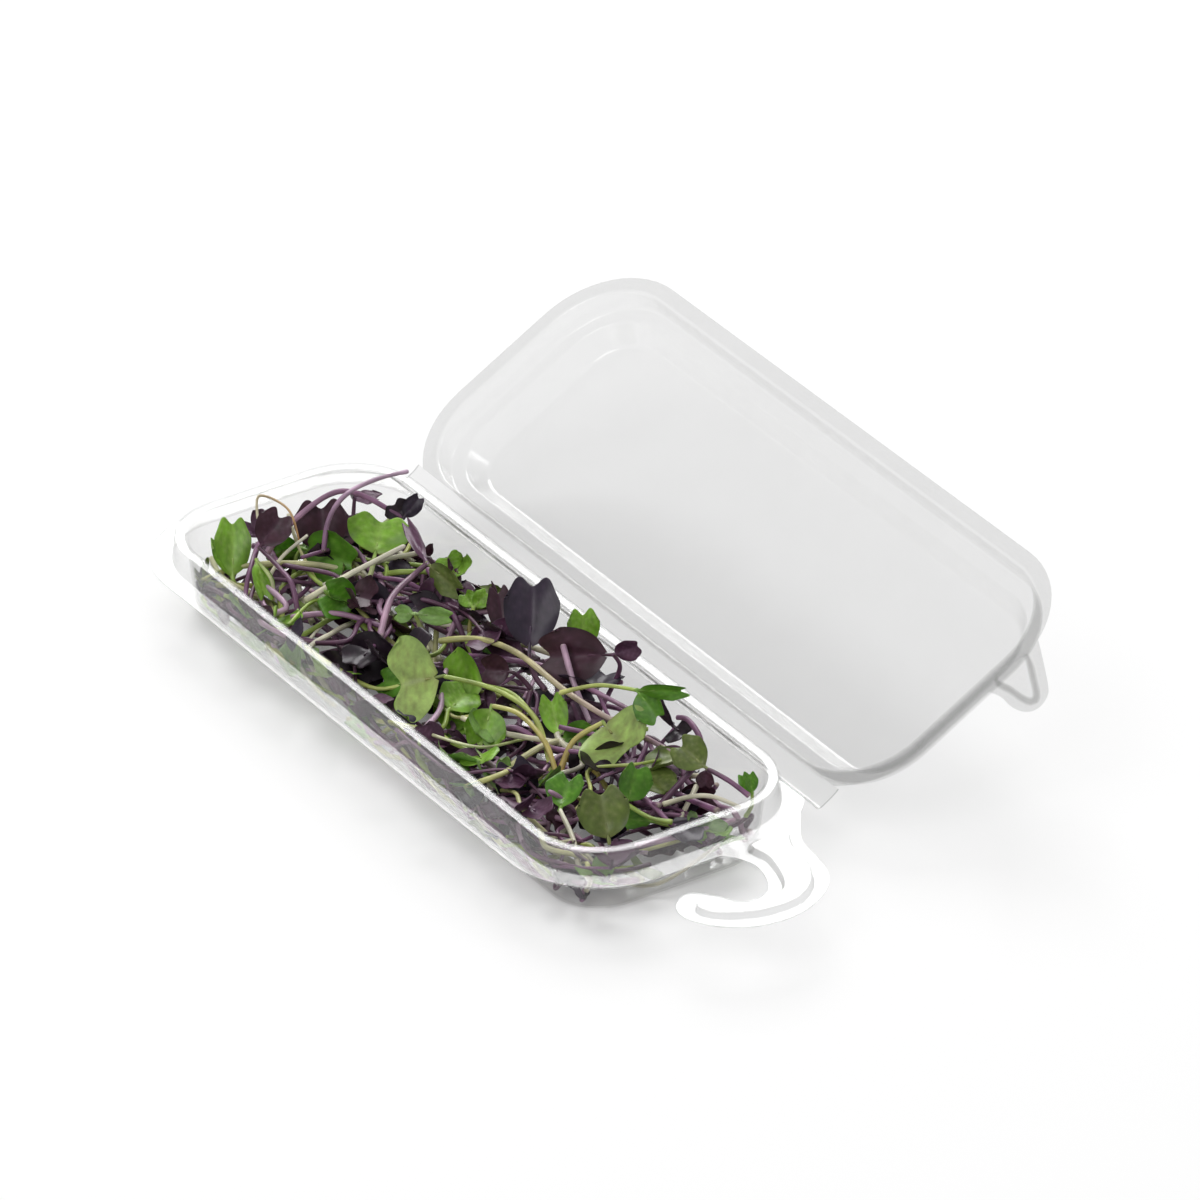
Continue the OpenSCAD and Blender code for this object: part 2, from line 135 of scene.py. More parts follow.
# The sprouts that show, as in the part's source: stem colours, thickness, stems, and leaves
# A leaf is its stem's number, tip, width, roll and kind
SHOWN = [
    ("vg", 1.2, [[(-65, -12, 2), (-67, -16, 5), (-69, -17, 7)]],
     [(0, (-77, -12, 18), 8, 5, "bright"), (0, (-78, -16, 13), 7, 15, "bright")]),
    ("pv", 1.4, [[(-45, -15, 5.5), (-51, -13, 13), (-58, -12, 14), (-66, -12, 15)]],
     [(0, (-69, -4, 20), 8, 35, "maroon")]),
    ("co", 0.7, [[(-73, -8, 17.5), (-77, -5, 20.5), (-70, -2, 19.5), (-64, -3, 14.5)]], []),
    ("kp", 1.6, [[(-70, -8, 10), (-70, -1, 16), (-68, 11, 21), (-58, 20, 16)]],
     [(0, (-61, 19, 19), 6, -40, "dark"), (0, (-57, 24, 21), 4, 55, "slate")]),
    ("pl", 1.3, [[(-59, 0, 13.5), (-63, 4, 18.5), (-64, 9, 22.5), (-66, 18, 22.5), (-65, 26, 22.5)]], []),
    ("vv", 1.2, [[(-59, 14, 4.5), (-61, 8, 7), (-64, 3, 9)]],
     [(0, (-71, 7, 19), 12, -5, "maroon"), (0, (-68, 13, 16), 12, 10, "maroon")]),
    ("cg", 1.4, [[(-46, 1, 7.5), (-48, 5, 11.5), (-51, 8, 13.5)]], [(0, (-57, 14, 19.5), 14, 10, "bright")]),
    ("kv", 1.7, [[(-24, -8, 12), (-32, 0, 15), (-36, 8, 16), (-36, 12, 18)]],
     [(0, (-54, 17, 20), 3, -25, "plum"), (0, (-25, 14, 15), 6, 70, "olive")]),
    ("pv", 1.7, [[(-42, 16, 12.5), (-33, 14, 11.5), (-22, 11, 9.5), (-17, 10, 6.5)]], []),
    ("cw", 1.6, [[(-48, -12, 10.5), (-46, -3, 14.5), (-43, 11, 19.5)]], []),
    ("cw", 1.0, [[(-61, -13, 10), (-63, -8, 13), (-62, -2, 17)]], []),
    ("cy", 0.9, [[(-75, 1, 15), (-66, -2, 12), (-57, -3, 8)]], []),
    ("gg", 1.0, [[(-65, -4, 6), (-67, -2, 9), (-68, 0, 10)]], [(0, (-52, 4, 12), 12, 65, "deep")]),
    ("cg", 1.1, [[(-56, -15, 7.5), (-58, -14, 11.5), (-64, -14, 13.5)]],
     [(0, (-55, -17, 8.5), 5, -15, "bright")]),
    ("kp", 1.6, [[(-46, -17, 9), (-40, -8, 10), (-27, -2, 10)]], []),
    ("cg", 1.2, [[(-19, 1, 8), (-23, 2, 11), (-24, 1, 15)]],
     [(0, (-28, -2, 14), 4, -60, "soft"), (0, (-18, 7, 15), 4, 60, "soft")]),
    ("pv", 1.3, [[(-27, 6, 5), (-34, 6, 8), (-38, 5, 10)]], [(0, (-45, -4, 10), 9, -60, "slate")]),
    ("vv", 1.4, [[(-47, -14, 3.5), (-40, -12, 5.5), (-30, -13, 7.5)]], [(0, (-17, -9, 9.5), 11, 60, "dark")]),
    ("yg", 1.5, [[(39, -4, 2), (29, 0, 8), (20, 2, 12), (10, -1, 14), (1, -8, 15)],
                 [(20, 2, 12), (11, 3, 12), (4, 1, 11)]],
     [(0, (-6, -17, 12), 19, -46, "pale"), (1, (-7, -3, 8), 15, -60, "bright")]),
    ("oy", 1.6, [[(40, -11, 5), (39, -4, 8), (36, 2, 13), (37, 9, 16)],
                 [(39, -4, 8), (33, -3, 13), (23, -3, 15), (17, -6, 15)]],
     [(0, (47, 9, 13), 17, 35, "pale"), (1, (21, -12, 8), 9, -20, "bright")]),
    ("cg", 0.9, [[(5, -21, 9.5), (17, -19, 11.5), (25, -14, 11.5), (23, -3, 8.5), (20, 6, 5.5)]], []),
    ("vv", 1.4, [[(12, 11, 10.5), (7, 11, 12.5), (4, 12, 15.5)]], [(0, (-5, 19, 28.5), 12, 5, "slate")]),
    ("vv", 1.2, [[(-10, 19, 4.5), (-12, 18, 6.5), (-13, 17, 8.5)]], [(0, (-21, 20, 17.5), 6, -5, "maroon")]),
    ("cg", 1.0, [[(12, 21, 11.5), (12, 21, 14.5), (12, 21, 17.5)]],
     [(0, (8, 23, 25.5), 7, -5, "bright"), (0, (7, 18, 20.5), 4, -50, "soft")]),
    ("pv", 1.3, [[(20, 19, 6.5), (20, 22, 10.5), (21, 24, 16.5), (20, 23, 19.5)]],
     [(0, (6, 13, 15.5), 12, -60, "maroon"), (0, (25, 27, 23.5), 5, 90, "plum")]),
    ("yg", 1.2, [[(26, 5, 19), (32, 11, 22), (41, 15, 24)]],
     [(0, (57, 18, 31), 4, 100, "deep"), (0, (49, 16, 20), 7, 55, "deep")]),
    ("yk", 1.6, [[(-18, 3, 10.5), (-11, 9, 12.5), (3, 10, 15.5), (21, 9, 16.5), (33, 11, 15.5),
                  (42, 15, 13.5), (51, 19, 11.5)]],
     []),
    ("kl", 1.6, [[(11, 16, 20), (18, 14, 15), (26, 13, 9)]], []),
    ("pk", 1.4, [[(14, 17, 12), (26, 17, 14), (36, 19, 14)]], []),
    ("vv", 1.4, [[(73, -6, 8), (72, -9, 9), (71, -12, 11)]], [(0, (64, -10, 21), 11, -15, "olive")]),
    ("gg", 1.3, [[(71, 4, 10.5), (67, 1, 10.5), (61, -1, 11.5)]], [(0, (58, 4, 18.5), 8, 50, "deep")]),
    ("vp", 1.6, [[(62, 4, 7), (62, 10, 11.5), (62, 16, 16.5), (59, 19, 19.5), (53, 20, 21),
                  (50, 19, 20.5)]], []),
    ("pv", 1.4, [[(76, 20, 14), (71, 18, 16), (66, 16, 17)]],
     [(0, (57, 14, 20), 8, -40, "olive"), (0, (67, 15, 13), 4, 5, "maroon")]),
    ("gg", 1.1, [[(73, 21, 7), (74, 22, 10), (74, 22, 13)]],
     [(0, (70, 22, 16), 3, -35, "deep"), (0, (73, 22, 18), 3, -15, "deep")]),
    ("gg", 1.2, [[(67, 11, 5), (66, 7, 6), (64, 4, 7)]], [(0, (60, -5, 9), 4, -60, "deep")]),
    ("vv", 1.4, [[(46, -13, 1.5), (44, -13, 2.5), (41, -13, 3.5)]], [(0, (34, -13, 13.5), 9, -25, "slate")]),
    ("lk", 1.6, [[(65, -18, 8), (70, -9, 8), (73, 4, 8), (74, 18, 8)]], []),
    ("cl", 1.2, [[(74, -20, 3), (73, -15, 8.5), (74, -10, 12.5)]], []),
    ("vv", 1.3, [[(52, 13, 1.5), (53, 14, 2.5), (55, 16, 3.5)]], [(0, (63, 21, 6.5), 7, 65, "maroon")]),
    ("cw", 1.3, [[(64, 6, 10.5), (66, 12, 11.5), (69, 16, 11.5), (73, 20, 9.5)]], []),
    ("kl", 1.9, [[(23, -15, 9.5), (32, -14, 9.5)]], []),
    ("og", 1.2, [[(-17, 11, 1.5), (-21, 13, 8.5), (-24, 16, 11.5)]],
     [(0, (-24, 20, 14.5), 4, 45, "bright"), (0, (-28, 16, 13.5), 4, -30, "bright")]),
    ("gg", 1.2, [[(-8, 20, 1.5), (-8, 17, 7.5), (-10, 16, 8.5)]], [(0, (-16, 13, 10.5), 7, -50, "deep")]),
    ("vv", 1.3, [[(8, 10, 9), (6, 9, 11), (5, 7, 13)]], [(0, (0, 2, 13), 7, -60, "maroon")]),
    ("gg", 1.2, [[(29, 5, 4), (28, 4, 7), (28, 4, 9)]],
     [(0, (18, 8, 14), 6, -10, "bright"), (0, (34, 10, 10), 8, 60, "deep")]),
    ("og", 1.5, [[(31, 3, 6), (38, 5, 7), (49, 3, 6), (55, 2, 2)]], []),
    ("kk", 1.4, [[(51, -15, 3), (48, -11, 7), (43, -5, 10)]], []),
]
PRESSED = (5, 22, 24, 25, 26)
LEAF_T = 0.35
STEM_STEPS = 7
STEM_SIDES = 10
LEAF_ROWS = 15
LEAF_COLUMNS = 15
WALL_MARGIN = 0.5
LOWEST_Z = 0.6
BED_COUNT = 8
TANGLE_COUNT = 180
TANGLE_MIDDLE = 135


def smooth(points, steps, closed=False):
    """Points along a soft curve through the given ones, steps to each stretch."""
    points = [Vector(p) for p in points]
    n = len(points)
    out = []
    for i in range(n if closed else n - 1):
        if closed:
            a, b, c, d = (points[(i + k) % n] for k in (-1, 0, 1, 2))
        else:
            a, b, c, d = points[max(i - 1, 0)], points[i], points[i + 1], points[min(i + 2, n - 1)]
        for k in range(steps):
            f = k / steps
            out.append(0.5 * (2 * b + (c - a) * f + (2 * a - 5 * b + 4 * c - d) * f ** 2
                              + (3 * b - a - 3 * c + d) * f ** 3))
    if not closed:
        out.append(points[-1])
    return out


def bent(bends, steps=4):
    """The profile through the given corners, with each corner rounded by its radius."""
    points = [Vector(b[:2]) for b in bends]
    out = [points[0]]
    for i in range(1, len(points) - 1):
        p, r = points[i], bends[i][2]
        a, b = (points[i - 1] - p).normalized(), (points[i + 1] - p).normalized()
        half = a.angle(b) / 2
        reach = r / math.tan(half)
        centre = p + (a + b).normalized() * r / math.sin(half)
        start, end = p + a * reach - centre, p + b * reach - centre
        for k in range(steps + 1):
            out.append(centre + start.slerp(end, k / steps) * r)
    out.append(points[-1])
    return out


def ring(inset, z):
    """Rounded oblong at a distance inside the flange's edge, anticlockwise."""
    cx, cy, r = HALF_L - CORNER_R, HALF_W - CORNER_R, CORNER_R - inset
    corners = [(cx, cy, 0), (-cx, cy, 90), (-cx, -cy, 180), (cx, -cy, 270)]
    out = []
    for i, (x, y, start) in enumerate(corners):
        for k in range(ARC_STEPS + 1):
            a = math.radians(start + 90 * k / ARC_STEPS)
            out.append(Vector((x + r * math.cos(a), y + r * math.sin(a), z)))
        nx, ny, turn = corners[(i + 1) % 4]
        a = math.radians(start + 90)
        steps = LONG_STEPS if i % 2 == 0 else SHORT_STEPS
        for k in range(1, steps):
            f = k / steps
            out.append(Vector((x + (nx - x) * f + r * math.cos(a), y + (ny - y) * f + r * math.sin(a), z)))
    return out


def cut_at(loop, y_most):
    """The loop without what lies beyond a line, closed along that line."""
    out = []
    for i, p in enumerate(loop):
        q = loop[(i + 1) % len(loop)]
        if p.y <= y_most:
            out.append(p)
        if (p.y - y_most) * (q.y - y_most) < 0:
            out.append(p.lerp(q, (y_most - p.y) / (q.y - p.y)))
    return out


def splice(loop, path):
    """The loop with the stretch between the path's two ends replaced by the path, on the +X end."""
    low, high, far = path[0].y, path[-1].y, HALF_L - CORNER_R
    keep = [p for p in loop if not (p.x > far and low - SPLICE_GAP < p.y < high + SPLICE_GAP)]
    place = next(i for i, p in enumerate(keep) if p.y > high and keep[i - 1].y < low and keep[i - 1].x > far)
    return keep[:place] + path + keep[place:]


def inside(p, loop):
    """True if a point of the plane lies in a closed line."""
    hit = False
    for i, a in enumerate(loop):
        b = loop[i - 1]
        if (a.y > p.y) != (b.y > p.y) and p.x < (b.x - a.x) * (p.y - a.y) / (b.y - a.y) + a.x:
            hit = not hit
    return hit


def inset_loop(loop, d):
    """An anticlockwise closed line moved inwards."""
    out = []
    for i, p in enumerate(loop):
        t = (loop[(i + 1) % len(loop)] - loop[i - 1]).normalized()
        out.append(p + Vector((-t.y, t.x, 0)) * d)
    return out


class Skin:
    """A sheet put together from strips and flat fields whose shared points are one."""

    def __init__(self):
        self.places, self.verts, self.faces, self.slots = {}, [], [], []

    def vert(self, p):
        key = tuple(round(c, 3) for c in p)
        if key not in self.places:
            self.places[key] = len(self.verts)
            self.verts.append(Vector(p))
        return self.places[key]

    def face(self, points, slot=0):
        ids = list(dict.fromkeys(self.vert(p) for p in points))
        if len(ids) > 2:
            self.faces.append(ids)
            self.slots.append(slot)

    def strip(self, a, b, closed=True):
        for i in range(len(a) if closed else len(a) - 1):
            j = (i + 1) % len(a)
            self.face([a[i], a[j], b[j], b[i]])

    def field(self, outer, holes=(), slot=0):
        loops = [outer, *holes]
        flat, edges = [], []
        for loop in loops:
            first = len(flat)
            flat += [Vector((p.x, p.y)) for p in loop]
            edges += [(first + i, first + (i + 1) % len(loop)) for i in range(len(loop))]
        verts, _, faces, *_ = delaunay_2d_cdt(flat, edges, [], 1, 1e-6)
        for f in faces:
            mid = sum((verts[i] for i in f), Vector((0, 0))) / 3
            if inside(mid, outer) and not any(inside(mid, h) for h in holes):
                self.face([Vector((*verts[i], outer[0].z)) for i in f], slot)

    def raised(self, loop, steps):
        """A hollow form pressed up from a closed line, by inset and height."""
        rings = [[p + Vector((0, 0, h)) for p in inset_loop(loop, d)] for d, h in steps]
        for a, b in zip(rings, rings[1:]):
            self.strip(a, b)
        self.field(rings[-1])

    def build(self, name, thickness, material, place=Matrix.Identity(4)):
        mesh = bpy.data.meshes.new(name)
        mesh.from_pydata([place @ v * MM for v in self.verts], [], self.faces)
        bm = bmesh.new()
        bm.from_mesh(mesh)
        bmesh.ops.recalc_face_normals(bm, faces=bm.faces)
        bm.to_mesh(mesh)
        bm.free()
        mesh.shade_smooth()
        for look in (material, clear_edge, clear_flange):
            mesh.materials.append(look)
        mesh.polygons.foreach_set("material_index", self.slots)
        obj = bpy.data.objects.new(name, mesh)
        scene.collection.objects.link(obj)
        shell = obj.modifiers.new("thickness", "SOLIDIFY")
        shell.material_offset_rim = 1
        shell.thickness = thickness * MM
        shell.offset = 0
        crisp = obj.modifiers.new("crisp_edge", "EDGE_SPLIT")
        crisp.split_angle = math.radians(CRISP_ANGLE)
        even = obj.modifiers.new("even_shade", "WEIGHTED_NORMAL")
        even.weight = 100
        return obj


def linear(rgb):
    """A screen colour of 0 to 255 in the renderer's own scale."""
    return tuple(c / 255 / 12.92 if c < 10.3 else ((c / 255 + 0.055) / 1.055) ** 2.4 for c in rgb)


def new_material(name):
    """An empty node material and helpers that add a node and join two sockets."""
    mat = bpy.data.materials.new(name)
    mat.use_nodes = True
    tree = mat.node_tree
    tree.nodes.clear()

    def add(kind, **values):
        node = tree.nodes.new("ShaderNode" + kind)
        for key, value in values.items():
            if key in node.inputs:
                node.inputs[key].default_value = value
            else:
                setattr(node, key, value)
        return node

    def join(a, b):
        tree.links.new(a, b)

    return mat, add, join


def math_node(add, join, operation, a, b):
    """A maths node over sockets or numbers."""
    node = add("Math", operation=operation)
    for socket, value in zip(node.inputs, (a, b)):
        if isinstance(value, (int, float)):
            socket.default_value = value
        else:
            join(value, socket)
    return node.outputs[0]


def clear_sheet(name, grain, clear=0.945, specks=False, edge_grey=0.0):
    """Thin clear moulded sheet, greyer and glossier edge on, with fine grain and a few dark specks."""
    mat, add, join = new_material(name)
    facing = add("LayerWeight", Blend=0.5).outputs["Facing"]
    coords = add("TexCoord").outputs["Object"]
    cloud = add("TexNoise", Scale=55.0, Detail=3.0)
    join(coords, cloud.inputs["Vector"])
    fine = add("TexNoise", Scale=2400.0, Detail=1.0)
    join(coords, fine.inputs["Vector"])
    shade = math_node(add, join, "MULTIPLY", math_node(add, join, "POWER", facing, 3.0), 0.18)
    shade = math_node(add, join, "ADD", shade, math_node(add, join, "MULTIPLY", fine.outputs["Fac"], grain))
    shade = math_node(add, join, "ADD", shade, math_node(add, join, "MULTIPLY", cloud.outputs["Fac"], 0.03))
    shade = math_node(add, join, "ADD", shade, edge_grey)
    if specks:
        dots = add("TexVoronoi", Scale=42.0)
        join(coords, dots.inputs["Vector"])
        near = math_node(add, join, "LESS_THAN", dots.outputs["Distance"], 0.022)
        shade = math_node(add, join, "ADD", shade, math_node(add, join, "MULTIPLY", near, 0.6))
    tint = add("Mix", data_type="RGBA", clamp_factor=True)
    tint.inputs[6].default_value = (clear, clear, clear, 1)
    tint.inputs[7].default_value = (0.30, 0.30, 0.29, 1)
    join(shade, tint.inputs[0])
    through = add("BsdfTransparent")
    join(tint.outputs[2], through.inputs["Color"])
    ripple = add("TexNoise", Scale=140.0, Detail=2.0)
    join(coords, ripple.inputs["Vector"])
    bump = add("Bump", Strength=0.05, Distance=0.0003)
    join(ripple.outputs["Fac"], bump.inputs["Height"])
    gloss = add("BsdfGlossy", Color=(1, 1, 1, 1), Roughness=0.12)
    join(bump.outputs["Normal"], gloss.inputs["Normal"])
    shine = math_node(add, join, "MULTIPLY", math_node(add, join, "POWER", facing, 5.0), 0.5)
    shine = math_node(add, join, "ADD", shine, 0.035)
    mix = add("MixShader")
    join(shine, mix.inputs[0])
    join(through.outputs[0], mix.inputs[1])
    join(gloss.outputs[0], mix.inputs[2])
    out = add("OutputMaterial")
    join(mix.outputs[0], out.inputs["Surface"])
    return mat


def plant(name, roughness, translucent):
    """Living tissue: the painted tint with fine streaks, cloudy tone and a little light through it."""
    mat, add, join = new_material(name)
    tint = add("Attribute", attribute_name="tint")
    flow = add("Attribute", attribute_name="flow")
    streak = add("TexNoise", Scale=1.0, Detail=4.0, Roughness=0.6)
    join(flow.outputs["Vector"], streak.inputs["Vector"])
    coords = add("TexCoord")
    cloud = add("TexNoise", Scale=260.0, Detail=3.0)
    join(coords.outputs["Object"], cloud.inputs["Vector"])
    level = math_node(add, join, "ADD", math_node(add, join, "MULTIPLY", streak.outputs["Fac"], 0.6),
                      math_node(add, join, "MULTIPLY", cloud.outputs["Fac"], 0.4))
    ramp = add("ValToRGB")
    ramp.color_ramp.elements[0].position = 0.36
    ramp.color_ramp.elements[0].color = (0.74, 0.72, 0.74, 1)
    ramp.color_ramp.elements[1].position = 0.64
    ramp.color_ramp.elements[1].color = (1.35, 1.35, 1.30, 1)
    join(level, ramp.inputs[0])
    tone = add("Mix", data_type="RGBA", blend_type="MULTIPLY")
    tone.inputs[0].default_value = 1.0
    join(tint.outputs["Color"], tone.inputs[6])
    join(ramp.outputs[0], tone.inputs[7])
    body = add("BsdfPrincipled", Roughness=roughness)
    join(tone.outputs[2], body.inputs["Base Color"])
    bump = add("Bump", Strength=0.4, Distance=0.0002)
    join(level, bump.inputs["Height"])
    join(bump.outputs["Normal"], body.inputs["Normal"])
    glow = add("BsdfTranslucent")
    join(tone.outputs[2], glow.inputs["Color"])
    mix = add("MixShader")
    mix.inputs[0].default_value = translucent
    join(body.outputs[0], mix.inputs[1])
    join(glow.outputs[0], mix.inputs[2])
    out = add("OutputMaterial")
    join(mix.outputs[0], out.inputs["Surface"])
    return mat


clear_tray = clear_sheet("clear_tray", grain=0.02, clear=0.975)
clear_flange = clear_sheet("clear_flange", grain=0.10, clear=0.93)
clear_lid = clear_sheet("clear_lid", grain=0.06, specks=True)
clear_edge = clear_sheet("clear_edge", grain=0.0, edge_grey=0.35)
stem_skin = plant("stem_skin", 0.36, 0.12)
leaf_skin = plant("leaf_skin", 0.38, 0.25)


def in_tray(x, y, z, margin):
    """The nearest point that lies inside the tray's wall by the margin."""
    z = max(z, LOWEST_Z)
    (top_in, *_), (foot_in, base_z, bend_r) = TRAY_BENDS[3:5]
    inset = foot_in - (foot_in - top_in) * min(z, RIM_Z) / RIM_Z + margin
    above = z - base_z
    if above < bend_r:
        inset += bend_r - math.sqrt(bend_r ** 2 - (bend_r - above) ** 2)
    r = CORNER_R - inset
    cx, cy = HALF_L - CORNER_R, HALF_W - CORNER_R
    core = Vector((min(max(x, -cx), cx), min(max(y, -cy), cy)))
    off = Vector((x, y)) - core
    if off.length > r:
        off *= r / off.length
    return Vector((core.x + off.x, core.y + off.y, z))


class Plant:
    """Mesh of one sprout: tubes and blades with a painted tint and a flow direction at each point."""

    def __init__(self):
        self.verts, self.faces, self.tints, self.flows, self.slots = [], [], [], [], []

    def grid(self, rows, tints, flows, slot, around=False):
        first = len(self.verts)
        n = len(rows[0])
        for r, t, f in zip(rows, tints, flows):
            self.verts += r
            self.tints += t
            self.flows += f
        for k in range(len(rows) - 1):
            for i in range(n if around else n - 1):
                j = (i + 1) % n
                self.faces.append([first + k * n + i, first + k * n + j, first + (k + 1) * n + j,
                                   first + (k + 1) * n + i])
                self.slots.append(slot)

    def cap(self, points, tint, slot):
        first = len(self.verts)
        self.verts += points
        self.tints += [tint] * len(points)
        self.flows += [(0, 0, 0)] * len(points)
        self.faces.append(list(range(first, first + len(points))))
        self.slots.append(slot)

    def stem(self, path, start, end, r0, r1, rng):
        """Tapered stalk along a path, pale at its cut ends."""
        points = smooth(path, STEM_STEPS)
        n, sides = len(points) - 1, STEM_SIDES
        phase = rng.random() * 9
        u = None
        rows, tints, flows, run = [], [], [], 0.0
        for k, p in enumerate(points):
            t = (points[min(k + 1, n)] - points[max(k - 1, 0)]).normalized()
            u = (u - t * u.dot(t)).normalized() if u else t.cross(Vector((0.1, 0.2, 1))).normalized()
            v = t.cross(u)
            run += (p - points[k - 1]).length if k else 0
            f = k / n
            swell = 1 + 0.05 * math.sin(run * 0.7 + phase) + 0.03 * math.sin(run * 1.9 + phase)
            r = (r0 + (r1 - r0) * f) * swell
            blotch = 0.9 + 0.12 * math.sin(run * 0.35 + phase * 3) + 0.08 * math.sin(run * 0.9 + phase)
            row = []
            for i in range(sides):
                a = 2 * math.pi * i / sides
                ridge = 1 + 0.05 * math.cos(3 * a + phase)
                row.append(p + (u * math.cos(a) + v * math.sin(a) * 0.92) * r * ridge)
            mix = [(s * (1 - f) + e * f) * blotch for s, e in zip(start, end)]
            rows.append(row)
            tints.append([(*mix, 1)] * sides)
            flows.append([(math.cos(2 * math.pi * i / sides) * 3 + phase,
                           math.sin(2 * math.pi * i / sides) * 3,
                           run * 0.16) for i in range(sides)])
        self.grid(rows, tints, flows, 0, around=True)
        pale = (*[0.5 * c + 0.5 * w for c, w in zip(start, linear(STEMS["c"]))], 1)
        self.cap(rows[0][::-1], pale, 0)
        self.cap(rows[-1], (*end, 1), 0)
        return points

    def leaf(self, foot, tip, width, roll, kind, rng, cup, bend, notch, fold):
        """Seed leaf with two round lobes: a closed blade whose upper and lower sides have their own tints."""
        top, under, vein = (linear(c) for c in LEAVES[kind])
        foot, tip = Vector(foot), Vector(tip)
        t = (tip - foot).normalized()
        length = (tip - foot).length
        level = Vector((0, 0, 1)).cross(t).normalized()
        a = math.radians(roll)
        u = level * math.cos(a) + t.cross(level) * math.sin(a)
        v = t.cross(u)
        shape = [(0, 0.09), (0.04, 0.40), (0.12, 0.68), (0.25, 0.88), (0.42, 0.99), (0.6, 1.03),
                 (0.8, 1.02), (1.0, 0.88)]
        seed = rng.random() * 20

        def place(q, c, side):
            i = next(i for i in range(len(shape) - 1) if q <= shape[i + 1][0])
            f = (q - shape[i][0]) / (shape[i + 1][0] - shape[i][0])
            w = max((shape[i][1] + (shape[i + 1][1] - shape[i][1]) * f) * width / 2, 0.4)
            e = abs(c)
            lobe = notch * (1 + math.cos(2 * math.pi * e)) / 2 if e < 0.5 else 0.42 * ((e - 0.5) / 0.5) ** 2.2
            along = 0.16 + 0.84 * (q - lobe * q ** 3 - 0.10 * e ** 1.5 * (1 - q) ** 2)
            lift = cup * w * e ** 2 + fold * w * e + bend * length * q * q
            lift += 0.05 * width * math.sin(seed + 5 * q + 3.5 * c) * min(1, 3 * q) * e
            lift -= 0.06 * width * math.exp(-(c / 0.14) ** 2) * min(1, 4 * q) * (1 - 0.6 * q)
            thick = LEAF_T / 2 * (1 - e ** 3) * (1 - q ** 8) + 0.35 * max(0, 1 - 5 * q) * (1 - e)
            return foot + t * length * along + u * w * c + v * (lift + side * thick)

        def paint(q, c, colour):
            rib = math.exp(-(c / 0.05) ** 2) * (1 - 0.5 * q)
            for k in (0.08, 0.3, 0.55):
                d = abs(abs(c) - (q - k) * 1.5) if q > k else 1
                rib = max(rib, 0.8 * math.exp(-(d / 0.06) ** 2))
            rib = max(rib, 1 - 9 * q)
            shade = 1 - 0.22 * abs(c) ** 6
            return (*[(x * (1 - 0.65 * rib) + y * 0.65 * rib) * shade for x, y in zip(colour, vein)], 1)

        cs = [math.sin(math.pi / 2 * (2 * i / (LEAF_COLUMNS - 1) - 1)) for i in range(LEAF_COLUMNS)]
        for side, colour in ((1, top), (-1, under)):
            rows, tints, flows = [], [], []
            order = cs if side > 0 else cs[::-1]
            for k in range(LEAF_ROWS):
                q = k / (LEAF_ROWS - 1)
                rows.append([place(q, c, side) for c in order])
                tints.append([paint(q, c, colour) for c in order])
                flows.append([(seed + q * 3, c * 3 * (0.4 + q), side * 2) for c in order])
            self.grid(rows, tints, flows, 1)
        stalk = [foot + (tip - foot) * f for f in (-0.04, 0.08, 0.2, 0.34)]
        self.stem(stalk, [0.5 * x + 0.5 * y for x, y in zip(under, vein)], vein, 0.5, 0.25, rng)

    def build(self, name):
        mesh = bpy.data.meshes.new(name)
        self.verts = [in_tray(*v, WALL_MARGIN) for v in self.verts]
        mesh.from_pydata([v * MM for v in self.verts], [], self.faces)
        for attribute, kind, values in (("tint", "FLOAT_COLOR", self.tints),
                                        ("flow", "FLOAT_VECTOR", self.flows)):
            data = mesh.attributes.new(attribute, kind, "POINT").data
            data.foreach_set("color" if kind == "FLOAT_COLOR" else "vector",
                             [c for value in values for c in value])
        mesh.materials.append(stem_skin)
        mesh.materials.append(leaf_skin)
        mesh.polygons.foreach_set("material_index", self.slots)
        bm = bmesh.new()
        bm.from_mesh(mesh)
        bmesh.ops.remove_doubles(bm, verts=bm.verts, dist=0.00002)
        bmesh.ops.recalc_face_normals(bm, faces=bm.faces)
        bm.to_mesh(mesh)
        bm.free()
        mesh.shade_smooth()
        obj = bpy.data.objects.new(name, mesh)
        scene.collection.objects.link(obj)
        return obj


# Tray with its flange, rim, walls and hook
def tray_sheet():
    skin = Skin()
    outline = cut_at(ring(0, FLANGE_Z), TRAY_CUT)
    hook = smooth([(HALF_L + x, y, FLANGE_Z) for x, y in HOOK_EDGE], 5)
    outline = splice(outline, hook)
    bead = smooth([(HALF_L + x, y, FLANGE_Z) for x, y in BEAD_EDGE][::-1], 4, closed=True)
    rings = [ring(p.x, p.y) for p in bent(TRAY_BENDS)]
    skin.field(outline, [rings[0], bead])
    skin.raised(bead, BEAD_STEPS)
    for a, b in zip(rings, rings[1:]):
        skin.strip(a, b)
    skin.field(rings[-1])
    obj = skin.build("clear_tray", SHEET_T, clear_tray)
    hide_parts("tray")
    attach(obj, "tray")
    return obj


